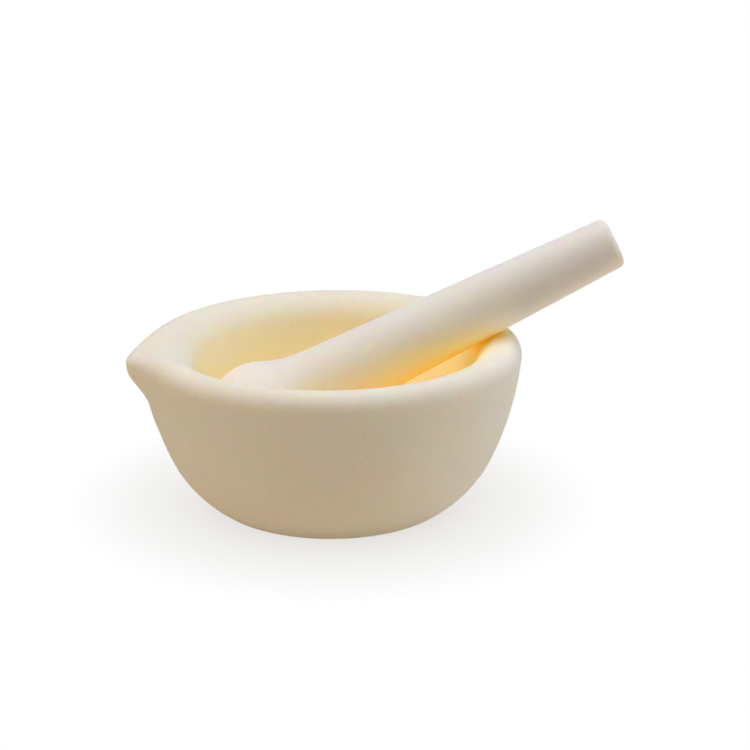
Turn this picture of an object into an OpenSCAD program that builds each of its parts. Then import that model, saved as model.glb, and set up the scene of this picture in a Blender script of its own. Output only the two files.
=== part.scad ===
// Laboratory mortar and pestle in unglazed ceramic: a thick round bowl with a pouring lip, and a
// tapered pestle that leans in it. Millimetres, +Z up. The origin is the centre of the bowl's foot,
// the pouring lip points along -X and the pestle's handle leaves over the rim near +X.

/* [Bowl, outside] */
// Outside diameter at the rim
rim_d = 100; // [96:1:105]
// Height from the foot to the top of the rim
bowl_h = 45; // [44:0.5:48]
// Radius of the rim's outer edge
rim_out_r = 4.2; // [3:0.1:6]
// Angle of the side to the vertical just under the rim, in degrees
side_taper = 5.3; // [3:0.1:7]
// Radius of the long curve down the side
side_r = 82.4; // [70:0.2:100]
// Angle to the vertical where the side turns into the heel, in degrees
heel_turn = 23.9; // [20:0.1:28]
// Radius of the heel's curve
heel_r = 33; // [31:0.5:36]
// Rounding where the heel meets the flat foot
foot_round = 2.5; // [1:0.5:4]

/* [Bowl, inside] */
// Radius of the rim's inner edge, which runs into the outer edge at the top of the rim
rim_in_r = 8; // [5:0.1:9]
// Thickness of the floor at its centre
floor_t = 8.2; // [7:0.1:9]
// Radius of the shallow dish of the floor
floor_r = 120; // [80:5:200]
// Radius of the corner between floor and wall
corner_r = 18.3; // [17.5:0.1:19]
// Distance of the corner's centre from the bowl's axis
corner_x = 17.5; // [16:0.5:19]

/* [Pouring lip] */
// Distance from the bowl's axis to the end of the lip
lip_reach = 53.9; // [52.5:0.1:58]
// How far the end of the lip is below the rim
lip_drop = 3.3; // [2:0.1:4.5]
// Radius of the end of the lip, seen from above
lip_tip_r = 10; // [6:0.5:12]
// Radius of the rounded edge at the end of the lip
lip_edge_r = 2.6; // [1.5:0.1:4]
// How far below the rim the lip runs out into the side
lip_depth = 13; // [10:0.5:16]
// Radius of the hollow along the top of the lip
channel_r = 60; // [40:1:90]
// Depth of that hollow where it crosses the top of the rim
channel_depth = 1.6; // [0.5:0.1:2.5]
// Fall of the hollow towards the end of the lip, in degrees
channel_fall = 6; // [3:0.5:10]

/* [Pestle] */
// Overall length
pestle_l = 117.6; // [100:0.1:150]
// Radius of the round grinding head
head_r = 14; // [13:0.1:14.8]
// Radius of the handle's cone at the middle of the head
root_r = 10.8; // [9.5:0.1:11.5]
// Radius of the handle's cone at the far end
tail_r = 6.75; // [5:0.05:8.5]
// Radius of the neck between head and handle
neck_round = 29; // [10:0.5:40]
// Radius of the rounded edge at the far end
tail_round = 1.6; // [1:0.1:3]
// Radius of the slight crown on the far end
crown_r = 70; // [40:1:100]

/* [Pestle at rest] */
// Slope of the pestle above the horizontal, in degrees
lean = 25.8; // [24.5:0.1:27]
// Direction in which the handle leaves the bowl, in degrees round from +X
handle_turn = 0; // [-180:0.1:180]

/* [Hidden] */
ceramic = [0.91, 0.87, 0.78];
pestle_ceramic = [0.93, 0.90, 0.84];
clearance = 0.08;  // gap left where the pestle rests on the bowl
max_turn = 5;  // longest step round an arc, in degrees
max_step = 3;  // longest step along an arc
over = 1;  // how far a cutting shape runs past the surface that it cuts

// The rim's two rounded edges share its highest point
rim_out_c = [rim_d / 2 - rim_out_r, bowl_h - rim_out_r];
rim_in_c = [rim_out_c.x, bowl_h - rim_in_r];

// Outside: side, heel and foot are arcs that run into each other
side_c = rim_out_c - (side_r - rim_out_r) * [cos(side_taper), -sin(side_taper)];
heel_c = side_c + (side_r - heel_r) * [cos(heel_turn), -sin(heel_turn)];
foot_x = heel_c.x + sqrt(pow(heel_r - foot_round, 2) - pow(heel_c.y - foot_round, 2));
foot_c = [foot_x, foot_round];
heel_end = atan2(heel_c.y - foot_c.y, foot_c.x - heel_c.x);

// Inside: the floor's dish, the corner, and a straight wall that touches corner and rim
dish_c = [0, floor_t + floor_r];
corner_c = [corner_x, dish_c.y - sqrt(pow(floor_r - corner_r, 2) - pow(corner_x, 2))];
dish_end = atan2(dish_c.y - corner_c.y, corner_c.x);
corner_to_rim = rim_in_c - corner_c;
rim_angle = atan2(corner_to_rim.y, corner_to_rim.x);
wall_tilt = acos((corner_r + rim_in_r) / norm(corner_to_rim)) - rim_angle;

// Pouring lip
lip_inset = 0.4;  // how far the lip's root is buried in the wall
lip_root_r = 2;  // rounding of the lip's lowest part
lip_half_turn = 38;  // half of the rim's turn that the lip's root takes up, in degrees

// Pestle, in a section with the axis upright and the grinding end at the bottom
taper = atan((root_r - tail_r) / (pestle_l - head_r));
head_c = [0, head_r];
head_gap = root_r * cos(taper);
cone_offset = head_gap + head_c.y * sin(taper);
neck_c = beside_cone(head_c, head_gap + neck_round, head_r + neck_round);
neck_a = atan2(neck_c.y - head_c.y, neck_c.x);
crown_c = [0, pestle_l - crown_r];
crown_gap = cone_offset - crown_c.y * sin(taper) - tail_round;
tail_c = beside_cone(crown_c, crown_gap, crown_r - tail_round);
crown_a = atan2(tail_c.y - crown_c.y, tail_c.x);

// Rest position, in the upright plane through the bowl's axis: the underside of the handle touches
// the rim, and the head touches the corner on the opposite side
under_a = lean + taper;
under_up = [-sin(under_a), cos(under_a)];
under_along = [cos(under_a), sin(under_a)];
far_corner_c = [-corner_c.x, corner_c.y];
rise = under_up * rim_in_c + rim_in_r + clearance + head_gap;
slack = corner_r - head_r - clearance;
slide = under_along * far_corner_c - sqrt(pow(slack, 2) - pow(rise - under_up * far_corner_c, 2));
head_at = rise * under_up + slide * under_along;
tip_at = head_at - head_r * [cos(lean), sin(lean)];

// Point beside the cone's surface line: gap away from c across the line, and reach away in all
function beside_cone(c, gap, reach) =
    c + gap * [cos(taper), sin(taper)] + sqrt(reach * reach - gap * gap) * [-sin(taper), cos(taper)];

// Points round an arc, without its last point
function arc(c, r, from, to) =
    let (turn = to - from, steps = ceil(max(abs(turn) / max_turn, r * abs(turn) * PI / 180 / max_step)))
    [for (i = [0:steps - 1]) c + r * [cos(from + turn * i / steps), sin(from + turn * i / steps)]];

// The bowl's outside as a full solid of revolution
module bowl_outside() {
    rotate_extrude($fn = 180)
        polygon(concat(
            [[0, 0]],
            arc(foot_c, foot_round, -90, -heel_end),
            arc(heel_c, heel_r, -heel_end, -heel_turn),
            arc(side_c, side_r, -heel_turn, -side_taper),
            arc(rim_out_c, rim_out_r, -side_taper, 90),
            [[rim_out_c.x, bowl_h], [0, bowl_h]]
        ));
}

// The hollow of the bowl, up to the top of its rounded rim
module bowl_hollow() {
    rotate_extrude($fn = 180)
        polygon(concat(
            arc(dish_c, floor_r, -90, -dish_end),
            arc(corner_c, corner_r, -dish_end, -wall_tilt),
            arc(rim_in_c, rim_in_r, 180 - wall_tilt, 90),
            [[rim_in_c.x, bowl_h], [rim_in_c.x, bowl_h + over], [0, bowl_h + over]]
        ));
}

// Part of a ring about the bowl's axis, on the side of the lip
module lip_ring(ring_r, section_r, z) {
    translate([0, 0, z])
        rotate(180 - lip_half_turn)
            rotate_extrude(angle = 2 * lip_half_turn, $fn = 96)
                translate([ring_r, 0])
                    circle(r = section_r, $fn = 32);
}

// The beak under the pouring lip
module lip_beak() {
    root_out = rim_d / 2 - lip_inset;
    hull() {
        translate([lip_tip_r - lip_reach, 0, bowl_h - lip_drop - lip_edge_r])
            rotate_extrude($fn = 48)
                translate([lip_tip_r - lip_edge_r, 0])
                    circle(r = lip_edge_r, $fn = 32);
        lip_ring(rim_out_c.x, rim_out_r - lip_inset, rim_out_c.y);
        lip_ring(root_out - lip_root_r - lip_inset, lip_root_r, bowl_h - lip_depth);
    }
}

// The shallow hollow along the top of the lip
module lip_channel() {
    translate([-rim_out_c.x, 0, bowl_h - channel_depth + channel_r])
        rotate([0, -90 - channel_fall, 0])
            cylinder(r = channel_r, h = lip_reach, center = true, $fn = 180);
}

module mortar() {
    color(ceramic)
        difference() {
            union() {
                bowl_outside();
                lip_beak();
            }
            bowl_hollow();
            lip_channel();
        }
}

module pestle() {
    color(pestle_ceramic)
        rotate(handle_turn)
            translate([tip_at.x, 0, tip_at.y])
                rotate([0, 90 - lean, 0])
                    rotate_extrude($fn = 120)
                        polygon(concat(
                            arc(head_c, head_r, -90, neck_a),
                            arc(neck_c, neck_round, neck_a + 180, taper + 180),
                            arc(tail_c, tail_round, taper, crown_a),
                            arc(crown_c, crown_r, crown_a, 90),
                            [[0, pestle_l]]
                        ));
}

mortar();
pestle();
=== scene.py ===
"""Looks for the mortar and pestle: smooth ceramic meshes, procedural ceramic, soft studio light."""
import math

import bpy
import numpy as np
from mathutils import Matrix, Vector


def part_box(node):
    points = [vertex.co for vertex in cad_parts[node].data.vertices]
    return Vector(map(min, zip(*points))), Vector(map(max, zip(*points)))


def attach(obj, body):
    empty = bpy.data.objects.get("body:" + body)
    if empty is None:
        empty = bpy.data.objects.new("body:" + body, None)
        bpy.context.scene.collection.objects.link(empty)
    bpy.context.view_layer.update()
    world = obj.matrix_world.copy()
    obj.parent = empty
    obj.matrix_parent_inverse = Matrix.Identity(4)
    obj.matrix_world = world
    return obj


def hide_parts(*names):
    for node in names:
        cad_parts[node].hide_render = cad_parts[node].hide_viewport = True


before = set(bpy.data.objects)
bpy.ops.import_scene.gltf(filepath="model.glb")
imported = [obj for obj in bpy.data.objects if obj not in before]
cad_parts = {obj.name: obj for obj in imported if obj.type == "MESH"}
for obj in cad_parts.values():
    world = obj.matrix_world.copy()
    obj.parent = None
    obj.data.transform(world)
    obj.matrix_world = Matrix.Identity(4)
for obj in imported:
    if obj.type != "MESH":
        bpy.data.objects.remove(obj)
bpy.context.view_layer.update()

MM = 0.001
mortar_low, mortar_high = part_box("mortar")
pestle_low, pestle_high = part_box("pestle")

# Bowl, in metres; the overall sizes come from the frame
RIM_RADIUS = mortar_high.y
BOWL_HEIGHT = mortar_high.z
LIP_REACH = -mortar_low.x
RIM_OUT_ROUND = 4.2 * MM
RIM_IN_ROUND = 8 * MM
SIDE_TAPER = math.radians(5.3)
SIDE_ROUND = 82.4 * MM
HEEL_TURN = math.radians(23.9)
HEEL_ROUND = 33 * MM
FOOT_ROUND = 2.5 * MM
FLOOR_THICKNESS = 8.2 * MM
FLOOR_ROUND = 120 * MM
CORNER_ROUND = 18.3 * MM
CORNER_X = 17.5 * MM
RIM_OUT = np.array([RIM_RADIUS - RIM_OUT_ROUND, BOWL_HEIGHT - RIM_OUT_ROUND])  # centre of the outer edge
RIM_IN = np.array([RIM_OUT[0], BOWL_HEIGHT - RIM_IN_ROUND])  # centre of the inner edge

# Pouring lip
LIP_DROP = 2.6 * MM
LIP_TIP_ROUND = 10.8 * MM
LIP_EDGE_ROUND = 2.6 * MM
LIP_FLARES = [(0.93, 0.645, 0.835), (0.07, 0.45, 0.6)]  # share of the reach, gained between two heights
LIP_FALL_HEIGHTS = (0.78, 0.9)  # these heights and those below are shares of the bowl's height
LIP_GROOVE = 0.5 * MM  # a shallow groove along the top of the lip
LIP_GROOVE_SPREAD = math.radians(5)
LIP_GROOVE_HEIGHTS = (0.85, 0.97)
LIP_WALL_EXTRA = 1.6 * MM  # the wall is this much thicker behind the lip
LIP_WALL_SPREAD = math.radians(16)
LIP_WALL_START = (0, 8 * MM)  # below the rim: the thicker part begins and ends over these stretches
LIP_WALL_END = (9 * MM, 28 * MM)
RIM_SAG = 0.7 * MM  # the whole rim is this much lower on the side of the lip
RIM_SAG_SPREAD = math.radians(69)
RIM_SAG_HEIGHTS = (0.75, 0.95)

# Pestle
HEAD_RADIUS = (pestle_high.y - pestle_low.y) / 2
PESTLE_LENGTH = 117.6 * MM
ROOT_RADIUS = 10.8 * MM
TAIL_RADIUS = 6.75 * MM
NECK_ROUND = 29 * MM
TAIL_ROUND = 1.6 * MM
CROWN_ROUND = 70 * MM

# Mesh density
STATION_STEP = 0.8 * MM
STATION_TURN = math.radians(5)
BOWL_COLUMNS = 320
COLUMN_CROWDING = 0.5  # how much closer together the bowl's columns stand near the lip
PESTLE_COLUMNS = 128

# Ceramic: its own colour, and painted amber bounce light and shade where light bounces or seeps about
#  inside the bowl, set against how open the surface is there
BOWL_COLOUR = (0.96, 0.90, 0.78)
PESTLE_COLOUR = (0.96, 0.92, 0.87)
# painted bounce light and shade, from the least open surface up
PAINTED_BOUNCE_COLOURS = [
    (0.0, (0.95, 0.50, 0.01)),
    (0.25, (0.95, 0.79, 0.39)),
    (0.4, (0.97, 0.875, 0.635)),
    (0.7, (0.97, 0.88, 0.67)),
]
OPEN_FROM = 0.9  # the ceramic has its own colour from this openness up
PESTLE_DEPTH = 0.8  # the pestle takes the painted bounce light and shade only where it is this much less open
PAINTED_BOUNCE_REACH = 38 * MM
# painted glow: emission that stands in for bounce light inside the bowl and under the pestle
PAINTED_GLOW_COLOURS = [(0.0, (0.15, 0.095, 0.0)), (0.5, (0.105, 0.087, 0.033)), (1.0, (0, 0, 0))]
PAINTED_GLOW_REACH = 70 * MM
OPENNESS_SAMPLES = 4
SEEPING = dict(reach=3 * MM, by_colour=(1.0, 0.55, 0.25))  # how far light seeps through the ceramic
GLOSS = 0.3

# Share from 0 to 1 of the painted bounce light and shade that a point of the mesh may take
PAINTED_LIGHT_SHARE = "hollow"
CREST_SHADE = 0.5  # at the top of the rim
CREST_START = 0.2  # of the way up the rim's outer edge
HEAD_SHADE = 0.3
SHADED_START = (30 * MM, 65 * MM)  # along the pestle: its shaded part begins and ends over these stretches
SHADED_END = (82 * MM, 90 * MM)

# Share from 0 to 1 of the wear from grinding at a point of the mesh
WORN = "worn"
WORN_LENGTHS = (5 * MM, 15 * MM)  # along the pestle: the ground end fades out over this stretch
WORN_HEIGHTS = (9 * MM, 17 * MM)  # up the inside of the bowl: likewise

# Fine detail of the ceramic: patterns with features per millimetre, and what they do to the surface
WHITE = (1, 1, 1)
CLOUDS = dict(per_mm=0.04, detail=4)
CLOUD_COLOURS = [(0.35, (0.98, 0.975, 0.96)), (0.65, WHITE)]
SPECKS_PER_MM = 0.3
SPECK_COLOURS = [(0.05, (0.78, 0.72, 0.62)), (0.09, WHITE)]
SPECK_STRENGTH = 0.5
SCUFFS = dict(per_mm=0.6, detail=5, roughness=0.7)
SCUFF_COLOURS = [(0.4, (0.93, 0.92, 0.91)), (0.6, WHITE)]
WORN_ROUGHNESS = [(0.3, (0.42,) * 3), (0.7, (0.6,) * 3)]
PATCHES = dict(per_mm=0.15, detail=3)
ROUGHNESS = [(0.3, (0.62,) * 3), (0.7, (0.74,) * 3)]
GRAIN = dict(per_mm=2.5, detail=3, roughness=0.6)
GRAIN_STRENGTH = 0.25
GRAIN_HEIGHT = 0.05 * MM

# Floor, light and camera
FLOOR_SIZE = 6.0
FLOOR_COLOUR = (0.6, 0.52, 0.4)
FLOOR_GLOW = (0.25, 0.215, 0.175)
SHADOW_COLOUR = (0.74, 0.72, 0.69)
SHADOW_REACH = 32 * MM
TOP_LIGHT = dict(at=(0, 0, 1.0), size=1.6, watts=12.4, colour=(1, 0.97, 1))
LEFT_LIGHT = dict(at=(-1.0, 0, 0.6), size=0.5, watts=1.4, colour=(1, 0.63, 0.19))
RIGHT_LIGHT = dict(at=(1.0, 0, 0.2), size=0.4, watts=2.5, colour=(0.73, 0.81, 1))
CAMERA_AZIMUTH = math.radians(-4)
CAMERA_ELEVATION = math.radians(18.99)
CAMERA_DISTANCE = 0.55
CAMERA_LENS = 99.15
CAMERA_ROLL = math.radians(-0.35)
CAMERA_SHIFT = (0.0579, 0.0564)  # the object stands left of and below the picture's middle
CAMERA_CLIP = (0.01, 20)


def arc(centre, radius, start, end):
    """Points round an arc of the section, without its last point."""
    turn = end - start
    steps = math.ceil(max(abs(turn) / STATION_TURN, radius * abs(turn) / STATION_STEP))
    angles = start + turn * np.arange(steps) / steps
    return np.stack([centre[0] + radius * np.cos(angles), centre[1] + radius * np.sin(angles)], axis=1)


def line(start, end):
    """Evenly spaced points from start to end, without either."""
    steps = max(1, math.ceil(math.dist(start, end) / STATION_STEP))
    share = (np.arange(1, steps) / steps)[:, None]
    return np.asarray(start) * (1 - share) + np.asarray(end) * share


def towards(angle, down=False):
    """The direction at an angle above the section's level, or below it."""
    return np.array([math.cos(angle), -math.sin(angle) if down else math.sin(angle)])


def smooth_step(value, low, high):
    """0 up to low, 1 from high, and a smooth rise between."""
    share = np.clip((value - low) / (high - low), 0, 1)
    return share * share * (3 - 2 * share)


def bell(angle, spread):
    """1 at the middle of the lip, falling off smoothly to both sides."""
    return np.exp(-0.5 * (angle / spread) ** 2)


def outside_section():
    """The bowl's foot, heel and side, from the middle of the foot up to the rim's outer edge."""
    side = RIM_OUT - (SIDE_ROUND - RIM_OUT_ROUND) * towards(SIDE_TAPER, down=True)
    heel = side + (SIDE_ROUND - HEEL_ROUND) * towards(HEEL_TURN, down=True)
    reach = HEEL_ROUND - FOOT_ROUND
    foot = np.array([heel[0] + math.sqrt(reach**2 - (heel[1] - FOOT_ROUND) ** 2), FOOT_ROUND])
    heel_end = math.atan2(heel[1] - foot[1], foot[0] - heel[0])
    return np.concatenate([
        [[0, 0]],
        line([0, 0], [foot[0], 0]),
        arc(foot, FOOT_ROUND, -math.pi / 2, -heel_end),
        arc(heel, HEEL_ROUND, -heel_end, -HEEL_TURN),
        arc(side, SIDE_ROUND, -HEEL_TURN, -SIDE_TAPER),
    ])


def inside_section():
    """The rim's inner edge, the wall, the corner and the floor, from the crest to the floor's middle."""
    dish = np.array([0, FLOOR_THICKNESS + FLOOR_ROUND])
    drop = math.sqrt((FLOOR_ROUND - CORNER_ROUND) ** 2 - CORNER_X**2)
    corner = np.array([CORNER_X, dish[1] - drop])
    dish_end = math.atan2(dish[1] - corner[1], corner[0])
    span = RIM_IN - corner
    rim_angle = math.atan2(span[1], span[0])
    wall_tilt = math.acos((CORNER_ROUND + RIM_IN_ROUND) / np.linalg.norm(span)) - rim_angle
    wall_top = RIM_IN + RIM_IN_ROUND * towards(math.pi - wall_tilt)
    wall_low = corner + CORNER_ROUND * towards(wall_tilt, down=True)
    return np.concatenate([
        arc(RIM_IN, RIM_IN_ROUND, math.pi / 2, math.pi - wall_tilt),
        [wall_top],
        line(wall_top, wall_low),
        arc(corner, CORNER_ROUND, -wall_tilt, -dish_end),
        arc(dish, FLOOR_ROUND, -dish_end, -math.pi / 2),
        [[0, FLOOR_THICKNESS]],
    ])


def bowl_section():
    """The bowl's section from the middle of the foot round to the middle of the floor.

    Returns its points, how far each moves at the end of the lip, its share of the painted bounce light and
    shade, and whether it's inside the rim's crest.
    """
    outside = outside_section()
    outer_edge = arc(RIM_OUT, RIM_OUT_ROUND, -SIDE_TAPER, math.pi / 2)
    inside = inside_section()

    lip_edge = np.array([LIP_REACH - LIP_EDGE_ROUND, BOWL_HEIGHT - LIP_DROP - LIP_EDGE_ROUND])
    lip_outer_edge = lip_edge + (outer_edge - RIM_OUT) * LIP_EDGE_ROUND / RIM_OUT_ROUND
    moved_edge = lip_outer_edge - outer_edge
    heights = outside[:, 1] / BOWL_HEIGHT
    flare = sum(share * smooth_step(heights, low, high) for share, low, high in LIP_FLARES)
    fall = smooth_step(heights, *LIP_FALL_HEIGHTS)
    moved_outside = moved_edge[0] * np.stack([flare, fall], axis=1)
    rim_share = 1 - smooth_step(RIM_IN[0] - inside[:, 0], 0, RIM_IN_ROUND)
    moved_inside = np.array([lip_edge[0] - RIM_OUT[0], -LIP_DROP]) * rim_share[:, None]

    # painted bounce light and shade: none outside, part of it on the crest, all of it inside
    outer_share = CREST_SHADE * smooth_step(np.linspace(0, 1, len(outer_edge)), CREST_START, 1)
    inner_share = 1 - (1 - CREST_SHADE) * rim_share
    points = np.concatenate([outside, outer_edge, inside])
    moved = np.concatenate([moved_outside, moved_edge, moved_inside])
    hollow = np.concatenate([np.zeros(len(outside)), outer_share, inner_share])
    return points, moved, hollow, np.arange(len(points)) >= len(points) - len(inside)


def lip_share(angle):
    """How far the rim is drawn out towards the lip's end at an angle from the lip, 0 to 1."""
    tip_centre = LIP_REACH - LIP_TIP_ROUND
    touch = math.acos((RIM_RADIUS - LIP_TIP_ROUND) / tip_centre)
    tip_end = math.atan2(LIP_TIP_ROUND * math.sin(touch), tip_centre + LIP_TIP_ROUND * math.cos(touch))
    angle = np.abs(angle)
    under_root = np.maximum(LIP_TIP_ROUND**2 - (tip_centre * np.sin(angle)) ** 2, 0)
    on_tip = tip_centre * np.cos(angle) + np.sqrt(under_root)
    on_edge = RIM_RADIUS / np.cos(touch - np.minimum(angle, touch))
    radius = np.where(angle < tip_end, on_tip, on_edge)
    return (radius - RIM_RADIUS) / (LIP_REACH - RIM_RADIUS)


def revolve(name, grid, hollow, worn):
    """A closed mesh from a grid of points, whose first and last sections are single points.

    Each section has a value from 0 to 1 for its share of painted bounce light and shade, and for worn,
    which the material reads.
    """
    sections, columns = grid.shape[:2]
    vertices = np.concatenate([grid[0, :1], grid[1:-1].reshape(-1, 3), grid[-1, :1]])
    faces = []
    for column in range(columns):
        after = (column + 1) % columns
        faces.append((0, 1 + after, 1 + column))
        for section in range(sections - 3):
            here = 1 + section * columns
            there = here + columns
            faces.append((here + column, here + after, there + after, there + column))
        end = 1 + (sections - 3) * columns
        faces.append((end + column, end + after, len(vertices) - 1))
    mesh = bpy.data.meshes.new(name)
    mesh.from_pydata(vertices.tolist(), [], faces)
    mesh.polygons.foreach_set("use_smooth", [True] * len(mesh.polygons))
    mesh.update()
    for attribute, values in ((PAINTED_LIGHT_SHARE, hollow), (WORN, worn)):
        shares = np.concatenate([values[:1], np.repeat(values[1:-1], columns), values[-1:]])
        mesh.attributes.new(attribute, "FLOAT", "POINT").data.foreach_set("value", shares)
    piece = bpy.data.objects.new(name, mesh)
    bpy.context.scene.collection.objects.link(piece)
    return piece


def build_bowl():
    """The bowl, as a section swept round the axis and drawn out at the lip."""
    points, moved, hollow, inside = bowl_section()
    turn = np.linspace(-math.pi, math.pi, BOWL_COLUMNS, endpoint=False)
    angle = turn - COLUMN_CROWDING * np.sin(turn)
    share = lip_share(angle)
    radius = points[:, :1] + moved[:, :1] * share
    height = points[:, 1:] + moved[:, 1:] * share

    sag = RIM_SAG * bell(angle, RIM_SAG_SPREAD)
    height = height - sag * smooth_step(height / BOWL_HEIGHT, *RIM_SAG_HEIGHTS)
    groove = LIP_GROOVE * bell(angle, LIP_GROOVE_SPREAD)
    height = height - groove * smooth_step(height / BOWL_HEIGHT, *LIP_GROOVE_HEIGHTS)
    depth = BOWL_HEIGHT - points[:, 1:]
    on_wall = smooth_step(depth, *LIP_WALL_START) * (1 - smooth_step(depth, *LIP_WALL_END))
    thicker = LIP_WALL_EXTRA * bell(angle, LIP_WALL_SPREAD)
    radius = radius - thicker * inside[:, None] * on_wall

    grid = np.stack([-radius * np.cos(angle), -radius * np.sin(angle), height], axis=2)
    worn = inside * (1 - smooth_step(points[:, 1], *WORN_HEIGHTS))
    return revolve("bowl", grid, hollow, worn)


def pestle_section():
    """The pestle's section: distance from its axis, and distance along it from the grinding end."""
    taper = math.atan((ROOT_RADIUS - TAIL_RADIUS) / (PESTLE_LENGTH - HEAD_RADIUS))
    across = towards(taper)
    along = np.array([-across[1], across[0]])

    def beside_cone(centre, gap, reach):
        return centre + gap * across + math.sqrt(reach**2 - gap**2) * along

    head = np.array([0, HEAD_RADIUS])
    head_gap = ROOT_RADIUS * math.cos(taper)
    cone_offset = head_gap + head[1] * math.sin(taper)
    neck = beside_cone(head, head_gap + NECK_ROUND, HEAD_RADIUS + NECK_ROUND)
    neck_angle = math.atan2(neck[1] - head[1], neck[0])
    crown = np.array([0, PESTLE_LENGTH - CROWN_ROUND])
    crown_gap = cone_offset - crown[1] * math.sin(taper) - TAIL_ROUND
    tail = beside_cone(crown, crown_gap, CROWN_ROUND - TAIL_ROUND)
    crown_angle = math.atan2(tail[1] - crown[1], tail[0])

    neck_end = neck - NECK_ROUND * across
    tail_start = tail + TAIL_ROUND * across
    return np.concatenate([
        arc(head, HEAD_RADIUS, -math.pi / 2, neck_angle),
        arc(neck, NECK_ROUND, neck_angle + math.pi, taper + math.pi),
        [neck_end],
        line(neck_end, tail_start),
        arc(tail, TAIL_ROUND, taper, crown_angle),
        arc(crown, CROWN_ROUND, crown_angle, math.pi / 2),
        [[0, PESTLE_LENGTH]],
    ])


def pestle_axis():
    """The head's centre and the direction of the handle, from the CAD node."""
    head = Vector((pestle_low.x + HEAD_RADIUS, 0, pestle_low.z + HEAD_RADIUS))
    vertices = [vertex.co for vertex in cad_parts["pestle"].data.vertices]
    farthest = max((vertex - head).length for vertex in vertices)
    near_farthest = farthest - 0.5 * MM
    tail_ring = [vertex for vertex in vertices if (vertex - head).length > near_farthest]
    middle = sum(tail_ring, Vector()) / len(tail_ring)
    return head, (middle - head).normalized()


def build_pestle():
    """The pestle, as a section swept round its own axis and laid where the CAD pestle lies."""
    section = pestle_section()
    angle = np.linspace(0, 2 * math.pi, PESTLE_COLUMNS, endpoint=False)
    radius = section[:, :1]
    along = section[:, 1]
    lengths = np.repeat(section[:, 1:], PESTLE_COLUMNS, axis=1)
    upright = np.stack([radius * np.cos(angle), radius * np.sin(angle), lengths], axis=2)
    head, direction = pestle_axis()
    turn = np.array(direction.to_track_quat("Z", "Y").to_matrix())
    tip = np.array(head - direction * HEAD_RADIUS)

    shaded = HEAD_SHADE + (1 - HEAD_SHADE) * smooth_step(along, *SHADED_START)
    shaded = shaded * (1 - smooth_step(along, *SHADED_END))
    worn = 1 - smooth_step(along, *WORN_LENGTHS)
    return revolve("grinding_pestle", upright @ turn.T + tip, shaded, worn)


class NewMaterial:
    """A material without nodes, and short ways to add them."""

    def __init__(self, name):
        self.material = bpy.data.materials.new(name)
        self.material.use_nodes = True
        self.nodes = self.material.node_tree.nodes
        self.link = self.material.node_tree.links.new
        self.nodes.clear()
        self.output = self.nodes.new("ShaderNodeOutputMaterial").inputs["Surface"]

    def add(self, kind, **values):
        """A node whose inputs have these values, with spaces for underscores in their names."""
        node = self.nodes.new(kind)
        for name, value in values.items():
            node.inputs[name.replace("_", " ")].default_value = value
        return node

    def pattern(self, kind, output, per_mm, **values):
        """A pattern fixed to the piece, so that it moves with it."""
        node = self.add(kind, Scale=per_mm / MM, **values)
        place = self.nodes.new("ShaderNodeTexCoord")
        self.link(place.outputs["Object"], node.inputs["Vector"])
        return node.outputs[output]

    def noise(self, per_mm, detail, roughness=0.5):
        return self.pattern("ShaderNodeTexNoise", "Fac", per_mm, Detail=detail, Roughness=roughness)

    def spots(self, per_mm):
        return self.pattern("ShaderNodeTexVoronoi", "Distance", per_mm)

    def attribute(self, name):
        node = self.nodes.new("ShaderNodeAttribute")
        node.attribute_name = name
        return node.outputs["Fac"]

    def openness(self, reach):
        node = self.add("ShaderNodeAmbientOcclusion", Distance=reach)
        node.samples = OPENNESS_SAMPLES
        return node.outputs["AO"]

    def colour(self, colour):
        node = self.nodes.new("ShaderNodeRGB")
        node.outputs["Color"].default_value = (*colour, 1)
        return node.outputs["Color"]

    def ramp(self, source, stops):
        node = self.nodes.new("ShaderNodeValToRGB")
        elements = node.color_ramp.elements
        while len(elements) < len(stops):
            elements.new(1)
        for element, (position, colour) in zip(elements, stops):
            element.position = position
            element.color = (*colour, 1)
        self.link(source, node.inputs["Fac"])
        return node.outputs["Color"]

    def mix(self, blend, factor, first, second):
        node = self.nodes.new("ShaderNodeMix")
        node.data_type = "RGBA"
        node.blend_type = blend
        if isinstance(factor, float):
            node.inputs["Factor"].default_value = factor
        else:
            self.link(factor, node.inputs["Factor"])
        self.link(first, node.inputs["A"])
        self.link(second, node.inputs["B"])
        return node.outputs["Result"]


def ceramic_colour(new, body_colour, depth):
    """Cloudy ivory with tiny specks, painted amber bounce light and shade where the surface is closed in,
    and scuffed where it's worn.
    """
    stops = [*PAINTED_BOUNCE_COLOURS, (OPEN_FROM, body_colour)]
    painted_stops = [(position * depth, colour) for position, colour in stops]
    # painted amber bounce light and shade, darker and warmer where the surface is less open
    painted_bounce = new.ramp(new.openness(PAINTED_BOUNCE_REACH), painted_stops)
    body = new.mix("MIX", new.attribute(PAINTED_LIGHT_SHARE), new.colour(body_colour), painted_bounce)
    clouds = new.ramp(new.noise(**CLOUDS), CLOUD_COLOURS)
    specks = new.ramp(new.spots(SPECKS_PER_MM), SPECK_COLOURS)
    scuffs = new.ramp(new.noise(**SCUFFS), SCUFF_COLOURS)
    clouded = new.mix("MULTIPLY", 1.0, body, clouds)
    speckled = new.mix("MULTIPLY", SPECK_STRENGTH, clouded, specks)
    return new.mix("MULTIPLY", new.attribute(WORN), speckled, scuffs)


def ceramic_roughness(new):
    """Matt in soft patches, and a little smoother where it's worn."""
    matt = new.ramp(new.noise(**PATCHES), ROUGHNESS)
    rubbed = new.ramp(new.noise(**SCUFFS), WORN_ROUGHNESS)
    return new.mix("MIX", new.attribute(WORN), matt, rubbed)


def ceramic_grain(new):
    bump = new.add("ShaderNodeBump", Strength=GRAIN_STRENGTH, Distance=GRAIN_HEIGHT)
    new.link(new.noise(**GRAIN), bump.inputs["Height"])
    return bump.outputs["Normal"]


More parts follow.
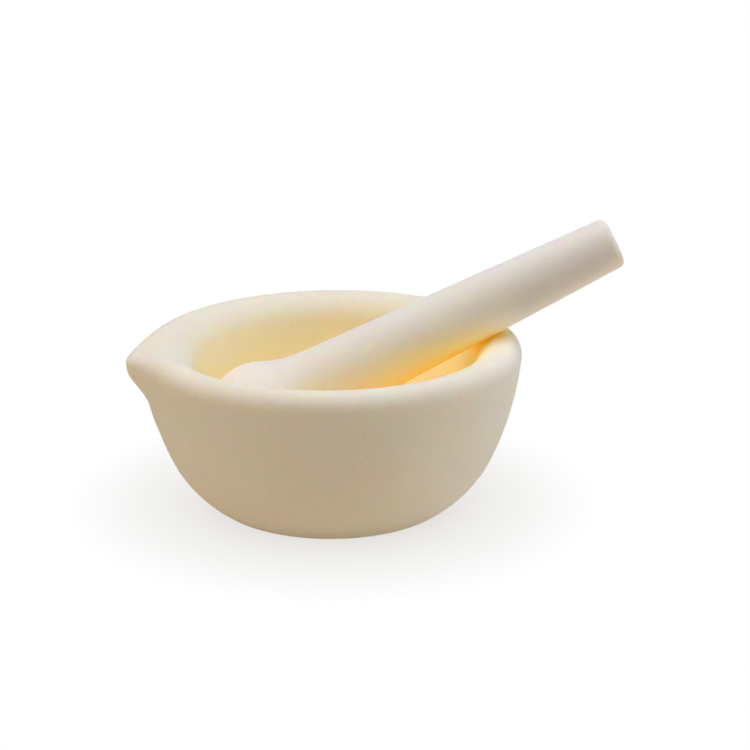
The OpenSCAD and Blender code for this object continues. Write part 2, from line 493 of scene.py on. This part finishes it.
def ceramic_material(name, body_colour, depth=1.0):
    """Unglazed ivory ceramic that lets light seep into it, and a faint painted glow that stands in for
    bounce light where the surface is closed in.
    """
    new = NewMaterial(name)
    surface = new.add(
        "ShaderNodeBsdfPrincipled",
        Subsurface_Weight=1.0,
        Subsurface_Radius=SEEPING["by_colour"],
        Subsurface_Scale=SEEPING["reach"],
        Specular_IOR_Level=GLOSS,
    )
    new.link(ceramic_colour(new, body_colour, depth), surface.inputs["Base Color"])
    new.link(ceramic_roughness(new), surface.inputs["Roughness"])
    # painted glow standing in for bounce light, as strong as the painted light share
    new.link(new.ramp(new.openness(PAINTED_GLOW_REACH), PAINTED_GLOW_COLOURS), surface.inputs["Emission Color"])
    new.link(new.attribute(PAINTED_LIGHT_SHARE), surface.inputs["Emission Strength"])
    new.link(ceramic_grain(new), surface.inputs["Normal"])
    new.link(surface.outputs["BSDF"], new.output)
    return new.material


def floor_material():
    """A floor that gives the bowl a warm bounce, and that the camera sees as white with a faint shadow."""
    new = NewMaterial("pale_floor")
    bounce = new.add("ShaderNodeBsdfDiffuse", Color=(*FLOOR_COLOUR, 1))
    glow = new.add("ShaderNodeEmission", Color=(*FLOOR_GLOW, 1))
    lit = new.nodes.new("ShaderNodeAddShader")
    new.link(bounce.outputs[0], lit.inputs[0])
    new.link(glow.outputs[0], lit.inputs[1])

    seen = new.nodes.new("ShaderNodeEmission")
    shadow = new.ramp(new.openness(SHADOW_REACH), [(0.0, SHADOW_COLOUR), (1.0, WHITE)])
    new.link(shadow, seen.inputs["Color"])

    path = new.nodes.new("ShaderNodeLightPath")
    choose = new.nodes.new("ShaderNodeMixShader")
    new.link(path.outputs["Is Camera Ray"], choose.inputs[0])
    new.link(lit.outputs[0], choose.inputs[1])
    new.link(seen.outputs[0], choose.inputs[2])
    new.link(choose.outputs[0], new.output)
    return new.material


def add_light(name, at, size, watts, colour):
    data = bpy.data.lights.new(name, "AREA")
    data.shape = "DISK"
    data.size = size
    data.energy = watts
    data.color = colour
    light = bpy.data.objects.new(name, data)
    bpy.context.scene.collection.objects.link(light)
    light.location = at
    aim = Vector((0, 0, BOWL_HEIGHT / 2)) - light.location
    light.rotation_euler = aim.to_track_quat("-Z", "Y").to_euler()


def add_world():
    """The world is white to the camera and gives no light."""
    world = bpy.data.worlds.new("studio")
    bpy.context.scene.world = world
    world.use_nodes = True
    nodes = world.node_tree.nodes
    links = world.node_tree.links
    nodes.clear()
    output = nodes.new("ShaderNodeOutputWorld")
    path = nodes.new("ShaderNodeLightPath")
    backdrop = nodes.new("ShaderNodeBackground")
    backdrop.inputs["Color"].default_value = (*WHITE, 1)
    links.new(path.outputs["Is Camera Ray"], backdrop.inputs["Strength"])
    links.new(backdrop.outputs[0], output.inputs[0])


def add_floor():
    bpy.ops.mesh.primitive_plane_add(size=FLOOR_SIZE)
    floor = bpy.context.object
    floor.name = "floor"
    floor.data.materials.append(floor_material())


def add_camera():
    data = bpy.data.cameras.new("camera")
    camera = bpy.data.objects.new("camera", data)
    bpy.context.scene.collection.objects.link(camera)
    data.lens = CAMERA_LENS
    data.shift_x, data.shift_y = CAMERA_SHIFT
    data.clip_start, data.clip_end = CAMERA_CLIP
    level = math.cos(CAMERA_ELEVATION)
    back = Vector((
        math.sin(CAMERA_AZIMUTH) * level,
        -math.cos(CAMERA_AZIMUTH) * level,
        math.sin(CAMERA_ELEVATION),
    ))
    camera.location = Vector((0, 0, BOWL_HEIGHT / 2)) + back * CAMERA_DISTANCE
    facing = (-back).to_track_quat("-Z", "Y")
    camera.rotation_mode = "QUATERNION"
    camera.rotation_quaternion = facing @ Matrix.Rotation(CAMERA_ROLL, 3, "Z").to_quaternion()
    bpy.context.scene.camera = camera


bowl = build_bowl()
bowl.data.materials.append(ceramic_material("bowl_ceramic", BOWL_COLOUR))
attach(bowl, "mortar")
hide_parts("mortar")

pestle = build_pestle()
pestle.data.materials.append(ceramic_material("pestle_ceramic", PESTLE_COLOUR, PESTLE_DEPTH))
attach(pestle, "pestle")
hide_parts("pestle")

add_floor()
add_world()
add_light("top_light", **TOP_LIGHT)
add_light("right_light", **RIGHT_LIGHT)
add_light("left_light", **LEFT_LIGHT)
add_camera()
bpy.context.scene.view_settings.view_transform = "Standard"
bpy.context.scene.cycles.use_denoising = True
